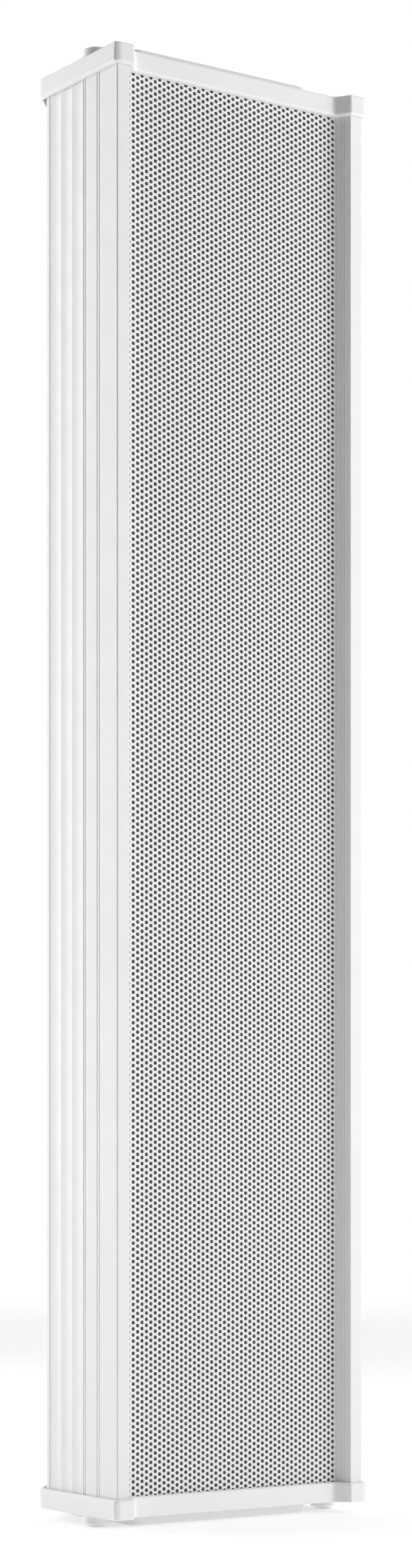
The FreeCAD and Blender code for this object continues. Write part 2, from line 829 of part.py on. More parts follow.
def make_cone(name, seat):
    """The paper cone with its flat rim and its dust cap."""
    rim = dim["cone_radius"]
    revolve(
        new_body(name, *seat),
        [
            (0, -12.6, -1.1),
            (14.6, -17.4),
            (rim - 2, -0.3),
            (rim, -0.3),
            (rim, -1.0),
            (rim - 2.4, -1.0),
            (dim["coil_outer"], -19.0),
            (dim["coil_outer"], -19.6),
            (dim["coil_inner"], -19.6),
            (dim["coil_inner"], -18.3, 1.0),
            (0, -13.4),
        ],
    )


def make_surround(name, seat):
    """The half-roll rubber surround, with a flat lip on each side."""
    revolve(
        new_body(name, *seat),
        [
            (35.8, 0.0),
            (37.9, 0.0, 2.7),
            (43.2, 0.0),
            (46.0, 0.0),
            (46.0, 0.5),
            (43.6, 0.5, -3.0),
            (37.5, 0.5),
            (35.8, 0.5),
        ],
    )


def make_spider(name, seat):
    """The corrugated cloth disc that centres the coil."""
    upper = [(14.2, -21.0), (17.0, -21.0)]
    low = [(17.0, -21.5), (14.2, -21.5)]
    waves, width, swing = 5, 3.2, 0.9
    for count in range(waves):
        start = 17.0 + count * width
        rise = swing if count % 2 == 0 else -swing
        upper.append((start + width / 2, -21.0 + rise))
        upper.append((start + width, -21.0))
        low.insert(0, (start + width / 2, -21.5 + rise))
        low.insert(0, (start + width, -21.5))
    upper.append((36.7, -21.0))
    low.insert(0, (36.7, -21.5))
    revolve(new_body(name, *seat), upper + low)


def make_cone_driver(number, height):
    seat = (FRONT_UP, as_size(0), at_depth(dim["baffle_front"]), height)
    name = f"driver_{number}"
    make_basket(f"{name}_basket", seat)
    ring(f"{name}_magnet", seat, 17.0, dim["magnet_radius"], -45.5, -33.5)
    make_steel(
        f"{name}_steel",
        seat,
        hole=sheet.gap_outer,
        plate=(30.0, -33.5, -29.5),
        pole=(sheet.pole_radius, -29.5),
        yoke=(32.0, -50.5, -45.5),
    )
    make_cone(f"{name}_cone", seat)
    ring(f"{name}_voice_coil", seat, dim["coil_inner"], dim["coil_outer"], -38.0, -19.6)
    make_surround(f"{name}_surround", seat)
    make_spider(f"{name}_spider", seat)


# ---------------------------------------------------------------- tweeter
def make_tweeter(height):
    seat = (FRONT_UP, as_size(0), at_depth(dim["baffle_front"]), height)
    body = new_body("tweeter_faceplate", *seat)
    throat, mouth = dim["throat_radius"], dim["tweeter_mouth"]
    revolve(body, [(throat, -7.0), (26.0, -7.0), (mouth + 0.5, 0), (mouth + 0.5, 2.0), (throat, -5.4)])
    plate = new_sketch(body)
    half = dim["tweeter_half"]
    rectangle(plate, -half, half, -half, half, dim["tweeter_corner"])
    circle(plate, 0, 0, mouth)
    for x in (-dim["tweeter_hole"], dim["tweeter_hole"]):
        for y in (-dim["tweeter_hole"], dim["tweeter_hole"]):
            circle(plate, x, y, dim["driver_screw_radius"] + 0.1)
    pad(body, plate, dim["tweeter_thick"])
    ring("tweeter_magnet", seat, 16.0, 27.0, -18.0, -10.0)
    make_steel(
        "tweeter_steel",
        seat,
        hole=13.3,
        plate=(25.0, -10.0, -7.0),
        pole=(11.8, -7.6),
        yoke=(25.0, -21.0, -18.0),
    )
    rim = dim["dome_radius"]
    revolve(
        new_body("tweeter_dome", *seat),
        [(0, -1.6, -1.25), (rim, -6.2), (rim, -12.0), (rim - 0.7, -12.0), (rim - 0.7, -6.5, 1.1), (0, -2.1)],
    )
    revolve(
        new_body("tweeter_surround", *seat),
        [(13.25, -6.9), (14.0, -6.9, 1.0), (16.4, -6.9), (17.4, -6.9), (17.4, -6.5), (16.7, -6.5, -1.1)]
        + [(13.7, -6.5), (13.25, -6.5)],
    )


# ---------------------------------------------------------------- rear connection
# The cover and the gland are drawn about their own Z axis, which points out of the back.
def make_rear_cover():
    back = dim["cab_depth"] / 2
    seat = (BACK_UP, 0, back, dim["cover_z"])
    half, rise, corner = dim["cover_half"], dim["cover_half_height"], dim["cover_corner"]
    side, up = dim["cover_screw_side"], dim["cover_screw_rise"]
    hole = dim["driver_screw_radius"] + 0.1

    gasket = new_body("rear_cover_gasket", *seat)
    sketch = new_sketch(gasket)
    rectangle(sketch, -half + 0.5, half - 0.5, -rise + 0.5, rise - 0.5, corner)
    rectangle(sketch, -(side - 2.9), side - 2.9, -(up - 3), up - 3, 2.0)
    for x in (-side, side):
        for y in (-up, up):
            circle(sketch, x, y, hole + 0.2)
    pad(gasket, sketch, dim["cover_gasket"])

    cover = new_body("rear_cover", *seat)
    sketch = new_sketch(cover, height=dim["cover_gasket"])
    rectangle(sketch, -half, half, -rise, rise, corner)
    for x in (-side, side):
        for y in (-up, up):
            circle(sketch, x, y, hole)
    circle(sketch, 0, dim["gland_drop"], dim["gland_thread"] + 0.15)
    plate = pad(cover, sketch, dim["cover_thick"])
    top = SIZES["cover_gasket"] + SIZES["cover_thick"]
    fillet(cover, plate, 0.6, lambda edge: lies_at(top)(edge) and not isinstance(edge.Curve, Part.Circle))

    out = FreeCAD.Vector(0, 1, 0)
    seat_y = back.value + top
    places = [
        (FreeCAD.Vector(x * side.value, seat_y, SIZES["cover_z"] + z * up.value), out)
        for x in (-1, 1)
        for z in (-1, 1)
    ]
    screw_group(
        "rear_cover_screws",
        places,
        sheet.driver_head_radius,
        sheet.driver_head_height,
        sheet.driver_screw_radius,
        9.0,
    )


def hexagon(sketch, across_flats):
    corner = as_size(across_flats) / (2 * math.cos(math.pi / 6))
    angles = [math.radians(60 * k) for k in range(6)]
    outline(sketch, [(corner * math.cos(a), corner * math.sin(a)) for a in angles])


def make_gland():
    """The cable gland through the rear cover: body, locknut, seal and clamping nut."""
    inner_face = dim["cab_depth"] / 2 + dim["cover_gasket"]
    seat = (BACK_UP, 0, inner_face, dim["cover_z"] - dim["gland_drop"])
    thread, thick = dim["gland_thread"], dim["cover_thick"]

    body = new_body("gland_body", *seat)
    revolve(
        body,
        [(5.0, -6.0), (thread, -6.0), (thread, 4.0), (8.6, 4.0)]
        + [(8.6, 17.0), (6.6, 17.0), (6.6, 11.0), (5.0, 11.0)],
    )
    flats = new_sketch(body, height=thick)
    hexagon(flats, dim["gland_hex"])
    circle(flats, 0, 0, thread - 0.5)
    pad(body, flats, 5.0)

    nut = new_body("gland_locknut", *seat)
    flats = new_sketch(nut, height=-4.0)
    hexagon(flats, dim["gland_hex"] - 1.0)
    circle(flats, 0, 0, thread + 0.05)
    pad(nut, flats, 4.0)

    ring("gland_seal", seat, dim["cable_radius"], 6.5, 11.0, 19.0)

    nut = new_body("gland_nut", *seat)
    flats = new_sketch(nut, height=8.5)
    hexagon(flats, dim["gland_hex"])
    circle(flats, 0, 0, 8.7)
    pad(nut, flats, 8.7)
    dome = [(6.7, 17.2), (10.6, 17.2), (10.2, 20.0, -0.5), (7.6, 22.2), (4.2, 22.2), (4.2, 19.2), (6.7, 19.2)]
    revolve(nut, dome)


def make_terminal_block():
    """The four-way screw terminal on the inside of the rear cover."""
    back = dim["cab_depth"] / 2 + dim["cover_gasket"]
    middle = dim["cover_z"] + dim["terminal_rise"]
    body = new_body("terminal_block", FRONT_UP, y=back, z=middle)
    base = new_sketch(body)
    rectangle(base, -24.0, 24.0, -6.5, 6.5)
    pad(body, base, 8.0)
    towers = new_sketch(body, height=8.0)
    for count in range(4):
        centre = (count - 1.5) * 9.0
        rectangle(towers, centre - 3.6, centre + 3.6, -5.0, 5.0)
    pad(body, towers, 5.0)
    wells = new_sketch(body, height=13.0)
    for count in range(4):
        circle(wells, (count - 1.5) * 9.0, 0, 2.2)
    pocket(body, wells, 6.0)


# ---------------------------------------------------------------- bracket inserts
def make_bracket_inserts():
    """Four threaded inserts in the back wall for a wall bracket."""
    out = FreeCAD.Vector(0, 1, 0)
    back = SIZES["cab_depth"] / 2
    solids = []
    for x in (-1, 1):
        for z in (-1, 1):
            face = FreeCAD.Vector(
                x * sheet.insert_span / 2, back, mid_height.value + z * sheet.insert_rise / 2
            )
            flange = Part.makeCylinder(sheet.insert_flange, 0.8, face, out)
            barrel = Part.makeCylinder(sheet.insert_barrel, 12.0, face, -out)
            bore = Part.makeCylinder(sheet.insert_bore, 12.8, face + out * 0.8, -out)
            solids.append(flange.fuse(barrel).cut(bore).removeSplitter().Solids[0])
    node = doc.addObject("Part::Feature", "bracket_inserts")
    node.Label = "bracket_inserts"
    node.Shape = Part.makeCompound(solids)
    node.Placement = FreeCAD.Placement()
    nodes["bracket_inserts"] = node


# ---------------------------------------------------------------- transformer, crossover, damping
def make_transformer(height):
    """The 100 V line transformer: a laminated core, its winding and the bracket in the back rails."""
    wall = at_depth(dim["rail_back"] + 0.3)
    front, half = wall - dim["core_stack"] - 7.5, dim["core_half"]
    rise = dim["core_half_height"]
    core = new_body("transformer_core", FRONT_UP, y=front + dim["core_stack"], z=height)
    sketch = new_sketch(core)
    rectangle(sketch, -half, half, -rise, rise)
    for low, high in ((-16.0, -8.0), (8.0, 16.0)):
        rectangle(sketch, low, high, -12.0, 12.0)
    pad(core, sketch, dim["core_stack"])

    winding = new_body("transformer_winding", y=front + dim["core_stack"] / 2, z=height - 11.8)
    sketch = new_sketch(winding)
    deep = dim["core_stack"] / 2
    rectangle(sketch, -15.6, 15.6, -deep - 6.5, deep + 6.5, 2.0)
    rectangle(sketch, -8.1, 8.1, -deep - 0.1, deep + 0.1)
    pad(winding, sketch, 23.6)

    thick = dim["chassis_thick"]
    bracket = new_body("transformer_bracket", z=height - 13.0)
    sketch = new_sketch(bracket)
    arm = half + 0.1
    outline(
        sketch,
        [
            (-dim["chassis_half"], wall + thick),
            (-dim["chassis_half"], wall),
            (-(arm + thick), wall),
            (-(arm + thick), front),
            (-arm, front),
            (-arm, wall),
            (arm, wall),
            (arm, front),
            (arm + thick, front),
            (arm + thick, wall),
            (dim["chassis_half"], wall),
            (dim["chassis_half"], wall + thick),
        ],
    )
    pad(bracket, sketch, 26.0)


def make_crossover(height):
    """The crossover board in the back rails, with its capacitor."""
    wall = at_depth(dim["rail_back"] + 0.3)
    half, thick = dim["chassis_half"], dim["chassis_thick"]
    box_body("crossover_board", (-half, half), (wall, wall + thick), (height - 23.0, height + 23.0))
    radius, reach = 7.0, 15.0
    body = new_body("crossover_capacitor", y=wall - radius - 0.05, z=height - reach)
    sketch = new_sketch(body)
    circle(sketch, 0, 0, radius)
    can = pad(body, sketch, 2 * reach)
    fillet(body, can, 0.8, lambda edge: lies_at(2 * reach)(edge) or lies_at(0)(edge))


def make_damping():
    """The block of wadding behind the upper drivers."""
    box_body("damping_pad", (-35.0, 35.0), (at_depth(74.0), at_depth(95.0)), (545.0, 700.0))


# ---------------------------------------------------------------- assembly
make_cabinet()
make_cap("top_cap", 1, rim_high, UPRIGHT)
make_cap("bottom_cap", -1, rim_low, UPSIDE_DOWN)
make_gasket("top_cap_gasket", cab_low + cab_length)
make_gasket("bottom_cap_gasket", cap_low + dim["cap_plate"])
make_cap_screws()
make_front()
make_driver_screws()
for number, step in enumerate((-2, -1, 1, 2), start=1):
    make_cone_driver(number, mid_height + step * dim["driver_pitch"])
make_tweeter(mid_height)
make_rear_cover()
make_gland()
make_terminal_block()
make_bracket_inserts()
make_transformer(mid_height - dim["driver_pitch"] / 2)
make_crossover(mid_height + dim["driver_pitch"] / 2)
make_damping()
doc.recompute()

# ---------------------------------------------------------------- checks and export
for obj in doc.Objects:
    if "Invalid" in obj.State or "Error" in obj.State:
        raise RuntimeError(f"{obj.Name} failed: {obj.State}")
os.makedirs("parts", exist_ok=True)
for name, obj in nodes.items():
    if obj.Shape.isNull() or not obj.Shape.isValid() or not obj.Shape.Solids:
        raise RuntimeError(f"{name} has no valid solid")
    obj.Shape.exportStep(f"parts/{name}.step")
print(len(nodes), "nodes written")
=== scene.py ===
import math

import bpy
import numpy as np
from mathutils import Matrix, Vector


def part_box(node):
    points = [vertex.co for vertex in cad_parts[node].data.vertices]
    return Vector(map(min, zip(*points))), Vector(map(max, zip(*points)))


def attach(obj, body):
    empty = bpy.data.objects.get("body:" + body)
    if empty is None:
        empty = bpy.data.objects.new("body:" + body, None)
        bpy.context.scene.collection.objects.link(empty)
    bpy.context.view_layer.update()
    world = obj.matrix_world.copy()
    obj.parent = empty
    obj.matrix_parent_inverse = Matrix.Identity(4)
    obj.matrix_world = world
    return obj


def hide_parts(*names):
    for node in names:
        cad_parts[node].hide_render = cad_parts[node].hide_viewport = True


MM = 0.001

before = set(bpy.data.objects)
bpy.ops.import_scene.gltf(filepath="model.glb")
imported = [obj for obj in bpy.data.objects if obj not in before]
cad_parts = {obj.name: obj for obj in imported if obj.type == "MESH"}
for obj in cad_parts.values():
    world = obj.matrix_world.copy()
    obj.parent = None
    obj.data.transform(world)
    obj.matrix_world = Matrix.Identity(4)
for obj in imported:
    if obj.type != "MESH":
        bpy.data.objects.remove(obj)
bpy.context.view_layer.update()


# ---------------------------------------------------------------- camera
CAMERA_PLACE = (-0.931848, -1.365473, 0.187753)
CAMERA_TURN = math.radians(-34.680)
CAMERA_LENS = 74.237
CAMERA_RISE = 0.23016  # keeps the upright edges parallel, with the whole column in the frame

camera_data = bpy.data.cameras.new("camera")
camera_data.sensor_width = 36.0
camera_data.lens = CAMERA_LENS
camera_data.shift_y = CAMERA_RISE
camera_data.clip_start, camera_data.clip_end = 0.05, 60.0
camera = bpy.data.objects.new("camera", camera_data)
camera.location = CAMERA_PLACE
camera.rotation_euler = (math.pi / 2, 0.0, CAMERA_TURN)
bpy.context.scene.collection.objects.link(camera)
bpy.context.scene.camera = camera
bpy.context.scene.view_settings.view_transform = "Standard"
bpy.context.scene.view_settings.look = "None"


# ---------------------------------------------------------------- materials
class Finish:
    """A procedural material: one Principled shader and the textures that drive it, in metres."""

    def __init__(self, name, roughness, metallic=0.0, **sockets):
        self.material = bpy.data.materials.new(name)
        self.material.use_nodes = True
        tree = self.material.node_tree
        self.nodes, self.links = tree.nodes, tree.links
        self.shader = next(n for n in tree.nodes if n.type == "BSDF_PRINCIPLED")
        self.shader.inputs["Roughness"].default_value = roughness
        self.shader.inputs["Metallic"].default_value = metallic
        for socket, value in sockets.items():
            self.shader.inputs[socket.replace("_", " ")].default_value = value
        self.place = self.nodes.new("ShaderNodeTexCoord").outputs["Object"]

    def stretched(self, scale):
        mapping = self.nodes.new("ShaderNodeMapping")
        mapping.inputs["Scale"].default_value = scale
        self.links.new(self.place, mapping.inputs["Vector"])
        return mapping.outputs["Vector"]

    def noise(self, size, detail=3.0, stretch=(1.0, 1.0, 1.0), roughness=0.5):
        """Soft noise whose features are about size metres across."""
        node = self.nodes.new("ShaderNodeTexNoise")
        node.inputs["Scale"].default_value = 1.0 / size
        node.inputs["Detail"].default_value = detail
        node.inputs["Roughness"].default_value = roughness
        self.links.new(self.stretched(stretch), node.inputs["Vector"])
        return node.outputs["Fac"]

    def cells(self, size, feature="F1"):
        node = self.nodes.new("ShaderNodeTexVoronoi")
        node.feature = feature
        node.inputs["Scale"].default_value = 1.0 / size
        self.links.new(self.place, node.inputs["Vector"])
        return node.outputs["Distance"]

    def bands(self, pitch, axis, distortion=0.0, detail_size=0.0):
        """Even ridges across an axis, one every pitch metres."""
        node = self.nodes.new("ShaderNodeTexWave")
        node.bands_direction = axis
        node.inputs["Scale"].default_value = 2 * math.pi / (20 * pitch)
        node.inputs["Distortion"].default_value = distortion
        node.inputs["Detail Scale"].default_value = detail_size
        self.links.new(self.place, node.inputs["Vector"])
        return node.outputs["Fac"]

    def maths(self, operation, first, second):
        node = self.nodes.new("ShaderNodeMath")
        node.operation = operation
        for socket, value in zip(node.inputs, (first, second)):
            if isinstance(value, float):
                socket.default_value = value
            else:
                self.links.new(value, socket)
        return node.outputs["Value"]

    def colour(self, factor, *stops):
        """Base colour from a factor; each stop is (position, grey or (r, g, b))."""
        ramp = self.nodes.new("ShaderNodeValToRGB")
        elements = ramp.color_ramp.elements
        while len(elements) < len(stops):
            elements.new(0.5)
        for element, (position, value) in zip(elements, stops):
            element.position = position
            element.color = (*value, 1.0) if isinstance(value, tuple) else (value, value, value, 1.0)
        self.links.new(factor, ramp.inputs["Fac"])
        self.links.new(ramp.outputs["Color"], self.shader.inputs["Base Color"])

    def rough(self, factor, low, high):
        node = self.nodes.new("ShaderNodeMapRange")
        node.inputs["From Min"].default_value = 0.3
        node.inputs["From Max"].default_value = 0.7
        node.inputs["To Min"].default_value = low
        node.inputs["To Max"].default_value = high
        self.links.new(factor, node.inputs["Value"])
        self.links.new(node.outputs["Result"], self.shader.inputs["Roughness"])

    def bump(self, height, depth, strength=1.0):
        node = self.nodes.new("ShaderNodeBump")
        node.inputs["Distance"].default_value = depth
        node.inputs["Strength"].default_value = strength
        self.links.new(height, node.inputs["Height"])
        self.links.new(node.outputs["Normal"], self.shader.inputs["Normal"])

    def weave(self, pitch, first="X", second="Z"):
        """A plain weave's height: two sets of threads that cross."""
        warp, weft = self.bands(pitch, first), self.bands(pitch, second)
        return self.maths("MAXIMUM", warp, weft)


def powder_coat(name, grey, warmth=0.0):
    """Satin powder coat: faint orange peel, with a little drift in tone and gloss."""
    f = Finish(name, 0.42, Specular_IOR_Level=0.5)
    drift = f.noise(60 * MM, 2.0)
    dull = grey - 0.012
    f.colour(drift, (0.3, (dull, dull, dull - 0.002 - warmth)), (0.7, (grey, grey, grey - warmth)))
    f.rough(f.noise(9 * MM, 3.0), 0.38, 0.48)
    f.bump(f.noise(1.3 * MM, 2.0), 0.02 * MM, 0.5)
    return f.material


def moulded(name, low, high, roughness, grain=0.35 * MM, depth=0.012 * MM):
    """Moulded plastic with a fine spark-eroded grain."""
    f = Finish(name, roughness)
    f.colour(f.noise(35 * MM, 3.0), (0.3, low), (0.7, high))
    f.rough(f.noise(4 * MM, 3.0), roughness - 0.05, roughness + 0.06)
    f.bump(f.noise(grain, 2.0), depth, 0.6)
    return f.material


def plated(name, low, high, roughness, grain=0.8 * MM, stretch=(1.0, 1.0, 1.0)):
    """Bare or plated metal with cloudy tone and fine marks."""
    f = Finish(name, roughness, 1.0)
    cloud = f.noise(3 * MM, 4.0, stretch)
    f.colour(cloud, (0.25, low), (0.75, high))
    f.rough(cloud, roughness - 0.08, roughness + 0.12)
    f.bump(f.noise(grain, 3.0, stretch), 0.01 * MM, 0.5)
    return f.material


def woven(name, low, high, pitch, depth, axes=("X", "Z"), sheen=0.3):
    """Cloth with threads in relief; its colour adds a painted highlight on the thread crowns and painted
    shade between the threads, over a random tone.
    """
    f = Finish(name, 0.9, Sheen_Weight=sheen, Sheen_Roughness=0.5)
    threads = f.weave(pitch, *axes)
    # painted highlight on the thread crowns and painted shade between them, times a random tone
    f.colour(f.maths("MULTIPLY", threads, f.noise(2.5 * MM, 3.0)), (0.1, low), (0.6, high))
    f.bump(threads, depth, 1.0)
    return f.material


def foam():
    f = Finish("black_foam", 0.92)
    pores = f.cells(0.6 * MM)
    f.colour(pores, (0.0, 0.045), (0.6, 0.012))
    f.bump(pores, 0.12 * MM, 0.8)
    return f.material


def ferrite():
    f = Finish("ferrite", 0.62)
    grit = f.noise(0.5 * MM, 5.0, roughness=0.7)
    f.colour(grit, (0.3, (0.045, 0.045, 0.05)), (0.7, (0.13, 0.13, 0.135)))
    f.rough(grit, 0.5, 0.75)
    f.bump(f.noise(1.2 * MM, 4.0, (1.0, 1.0, 3.0)), 0.05 * MM, 0.5)
    return f.material


def paper():
    f = Finish("paper_cone", 0.86)
    fibres = f.noise(1.6 * MM, 6.0, (1.0, 1.0, 4.0), 0.75)
    f.colour(fibres, (0.3, 0.028), (0.7, 0.085))
    f.bump(fibres, 0.09 * MM, 0.6)
    return f.material


def copper():
    f = Finish("copper_winding", 0.3, 1.0)
    turns = f.bands(0.42 * MM, "Y")
    f.colour(turns, (0.1, (0.25, 0.09, 0.03)), (0.6, (0.78, 0.38, 0.2)))
    f.rough(f.noise(1 * MM), 0.22, 0.4)
    f.bump(turns, 0.1 * MM, 0.9)
    return f.material


def rubber():
    f = Finish("black_rubber", 0.55, Specular_IOR_Level=0.4)
    bloom = f.noise(6 * MM, 4.0)
    f.colour(bloom, (0.3, 0.014), (0.75, 0.035))
    f.rough(bloom, 0.48, 0.66)
    f.bump(f.noise(0.4 * MM, 3.0), 0.012 * MM, 0.6)
    return f.material


def laminations():
    f = Finish("core_steel", 0.5, 0.85)
    layers = f.bands(0.5 * MM, "Y")
    f.colour(f.maths("MULTIPLY", layers, f.noise(4 * MM, 4.0)), (0.05, 0.05), (0.6, (0.3, 0.29, 0.28)))
    f.rough(f.noise(3 * MM), 0.4, 0.6)
    f.bump(layers, 0.12 * MM, 0.8)
    return f.material


def tape():
    f = Finish("winding_tape", 0.38)
    laps = f.bands(6.0 * MM, "Z", 1.5, 40.0)
    f.colour(laps, (0.0, (0.55, 0.4, 0.1)), (0.08, (0.8, 0.66, 0.26)), (1.0, (0.84, 0.72, 0.34)))
    f.bump(laps, 0.06 * MM, 0.4)
    return f.material


def circuit_board():
    f = Finish("board_green", 0.32, Coat_Weight=0.3, Coat_Roughness=0.2)
    tracks = f.cells(7 * MM, "DISTANCE_TO_EDGE")
    f.colour(tracks, (0.05, (0.03, 0.13, 0.06)), (0.09, (0.09, 0.3, 0.14)))
    f.bump(tracks, 0.05 * MM, 0.5)
    return f.material


def film_can():
    f = Finish("capacitor_film", 0.22, Coat_Weight=0.4, Coat_Roughness=0.1)
    wraps = f.bands(2.2 * MM, "Z", 2.0, 60.0)
    f.colour(wraps, (0.0, (0.5, 0.36, 0.07)), (1.0, (0.74, 0.57, 0.15)))
    f.bump(wraps, 0.03 * MM, 0.4)
    return f.material


def fleece():
    f = Finish("wadding", 0.95, Sheen_Weight=0.5, Sheen_Roughness=0.6)
    fibres = f.noise(5 * MM, 8.0, (1.0, 3.0, 1.0), 0.8)
    f.colour(fibres, (0.3, (0.62, 0.62, 0.6)), (0.7, (0.88, 0.88, 0.86)))
    f.bump(fibres, 1.2 * MM, 0.9)
    return f.material


FINISHES = {
    "white_powder_coat": powder_coat("white_powder_coat", 0.83, 0.001),
    "grille_white": powder_coat("grille_white", 0.85, 0.001),
    "white_plastic": moulded("white_plastic", (0.84, 0.84, 0.838), (0.86, 0.86, 0.858), 0.46),
    "grille_cloth": woven("grille_cloth", 0.04, 0.15, 0.5 * MM, 0.15 * MM),
    "plain_aluminium": plated("plain_aluminium", 0.5, 0.7, 0.34, 0.6 * MM, (1.0, 1.0, 0.05)),
    "black_foam": foam(),
    "zinc_steel": plated("zinc_steel", (0.5, 0.5, 0.49), (0.74, 0.74, 0.72), 0.3),
    "black_steel": moulded("black_steel", 0.018, 0.032, 0.36, 1.2 * MM, 0.02 * MM),
    "ferrite": ferrite(),
    "paper_cone": paper(),
    "copper_winding": copper(),
    "black_rubber": rubber(),
    "spider_cloth": woven("spider_cloth", (0.36, 0.22, 0.07), (0.72, 0.52, 0.24), 0.6 * MM, 0.12 * MM),
    "silk_dome": woven("silk_dome", 0.03, 0.075, 0.25 * MM, 0.04 * MM, sheen=0.15),
    "black_plastic": moulded("black_plastic", 0.016, 0.026, 0.44),
    "grey_plastic": moulded("grey_plastic", (0.5, 0.51, 0.52), (0.56, 0.57, 0.58), 0.42),
    "green_plastic": moulded("green_plastic", (0.03, 0.2, 0.07), (0.05, 0.26, 0.1), 0.4),
    "core_steel": laminations(),
    "winding_tape": tape(),
    "board_green": circuit_board(),
    "capacitor_film": film_can(),
    "wadding": fleece(),
}

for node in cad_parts.values():
    slot_name = node.material_slots[0].material.name.split(".")[0]
    for material_slot in node.material_slots:
        material_slot.material = FINISHES[slot_name]


# ---------------------------------------------------------------- pieces
def new_piece(name, body, slot_name, replaced):
    """An object with an empty mesh, which rides on a body and stands for CAD nodes."""
    mesh = bpy.data.meshes.new(name)
    mesh.materials.append(FINISHES[slot_name])
    piece = bpy.data.objects.new(name, mesh)
    bpy.context.scene.collection.objects.link(piece)
    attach(piece, body)
    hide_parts(*replaced)
    return piece


def fill_mesh(mesh, points, faces):
    """Triangles from numpy arrays."""
    mesh.vertices.add(len(points))
    mesh.vertices.foreach_set("co", points.astype(np.float32).ravel())
    mesh.loops.add(3 * len(faces))
    mesh.loops.foreach_set("vertex_index", faces.astype(np.int32).ravel())
    mesh.polygons.add(len(faces))
    mesh.polygons.foreach_set("loop_start", np.arange(0, 3 * len(faces), 3, dtype=np.int32))
    mesh.update(calc_edges=True)
    mesh.validate()


# The perforated front: 1.9 mm holes on a 3 mm staggered pitch, each with a wide rolled rim.
PITCH = 3.0 * MM
COLUMN_STEP = PITCH * math.cos(math.radians(30))
COLUMNS_EACH_SIDE = 24
SIDES = 12
CELL_SIDES = 6
GRILLE_CREASE = math.radians(52)  # edges sharper than this stay sharp
RIM = ((1.28, 0.0), (1.08, 0.12), (0.95, 0.42), (0.95, 1.0))  # radius in mm, and depth as a share
FIRST_ROW = 12.1 * MM  # the lowest hole of the middle column
ROWS = 236
PANELS = 7


def make_grille():
    low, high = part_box("front_grille")
    thickness = high.y - low.y
    angles = np.arange(SIDES) * 2 * math.pi / SIDES
    corner_angles = np.arange(CELL_SIDES) * 2 * math.pi / CELL_SIDES
    corner_reach = PITCH / 2 / math.cos(math.radians(30))
    rows_each = math.ceil(ROWS / PANELS)
    for panel in range(PANELS):
        first, last = panel * rows_each, min((panel + 1) * rows_each, ROWS)
        centres = []
        for k in range(-COLUMNS_EACH_SIDE, COLUMNS_EACH_SIDE + 1):
            # a column that is half a pitch up has one hole fewer
            odd = k % 2
            rows = np.arange(first, last - (1 if odd and last == ROWS else 0))
            z = FIRST_ROW + rows * PITCH + odd * PITCH / 2
            centres.append(np.stack([np.full(len(z), k * COLUMN_STEP), z], 1))
        centres = np.concatenate(centres)
        corner_turn = np.stack([np.cos(corner_angles), np.sin(corner_angles)], 1)
        corners = centres[:, None, :] + corner_reach * corner_turn
        # plain margins: (x, z) rows of quads that fill up to the sheet's edges
        margins = grille_margins(low, high, first, last, corner_reach, panel == 0, last == ROWS)
        plan = np.concatenate([corners.reshape(-1, 2), margins.reshape(-1, 2)])
        keys, index = np.unique(np.round(plan / 1e-6).astype(np.int64), axis=0, return_inverse=True)
        index = index.ravel()
        shared = np.zeros((len(keys), 2))
        shared[index] = plan
        corner_index = index[: len(centres) * CELL_SIDES].reshape(-1, CELL_SIDES)
        quad_index = index[len(centres) * CELL_SIDES:].reshape(-1, 4)

        count = len(shared)
        front = np.stack([shared[:, 0], np.full(count, low.y), shared[:, 1]], 1)
        back = front + np.array([0.0, thickness, 0.0])
        rings = []
        for radius, depth in RIM:
            ring = centres[:, None, :] + radius * MM * np.stack([np.cos(angles), np.sin(angles)], 1)
            ring = ring.reshape(-1, 2)
            rings.append(np.stack([ring[:, 0], np.full(len(ring), low.y + depth * thickness), ring[:, 1]], 1))
        points = np.concatenate([front, back, *rings])
        ring_index = [
            2 * count + n * len(centres) * SIDES + np.arange(len(centres) * SIDES).reshape(-1, SIDES)
            for n in range(len(RIM))
        ]

        def land(outer, inner):
            """Faces from a cell's six corners to its hole's ring, seen from the front."""
            faces = []
            for c in range(CELL_SIDES):
                mid, after, before = 2 * c, (2 * c + 1) % SIDES, (2 * c - 1) % SIDES
                following = (c + 1) % CELL_SIDES
                faces.append(np.stack([outer[:, c], inner[:, after], inner[:, mid]], 1))
                faces.append(np.stack([outer[:, c], inner[:, mid], inner[:, before]], 1))
                faces.append(np.stack([outer[:, c], outer[:, following], inner[:, after]], 1))
            return np.concatenate(faces)

        faces = [land(corner_index, ring_index[0])]
        for outer, inner in zip(ring_index, ring_index[1:]):
            a, b = outer, np.roll(outer, -1, 1)
            c, d = np.roll(inner, -1, 1), inner
            faces.append(np.stack([a, b, c], 2).reshape(-1, 3))
            faces.append(np.stack([a, c, d], 2).reshape(-1, 3))
        back_land = land(corner_index + count, ring_index[-1])
        faces.append(back_land[:, ::-1])
        front_quads = np.concatenate([quad_index[:, [0, 1, 2]], quad_index[:, [0, 2, 3]]])
        faces.append(front_quads)
        faces.append((front_quads + count)[:, ::-1])
        # the outline's wall: edges of the front that only one face uses
        open_front = np.concatenate([faces[0], front_quads])
        edges = np.concatenate([open_front[:, [0, 1]], open_front[:, [1, 2]], open_front[:, [2, 0]]])
        edges = edges[(edges < count).all(1)]
        ordered = np.sort(edges, 1)
        _, where, uses = np.unique(ordered, axis=0, return_index=True, return_counts=True)
        rim_edges = edges[where[uses == 1]]
        a, b = rim_edges[:, 0], rim_edges[:, 1]
        faces.append(np.stack([b, a, a + count], 1))
        faces.append(np.stack([b, a + count, b + count], 1))

        piece = new_piece(f"grille_panel_{panel + 1}", "cabinet", "grille_white", ["front_grille"])
        fill_mesh(piece.data, points, np.concatenate(faces))
        piece.data.shade_smooth()
        piece.data.set_sharp_from_angle(angle=GRILLE_CREASE)


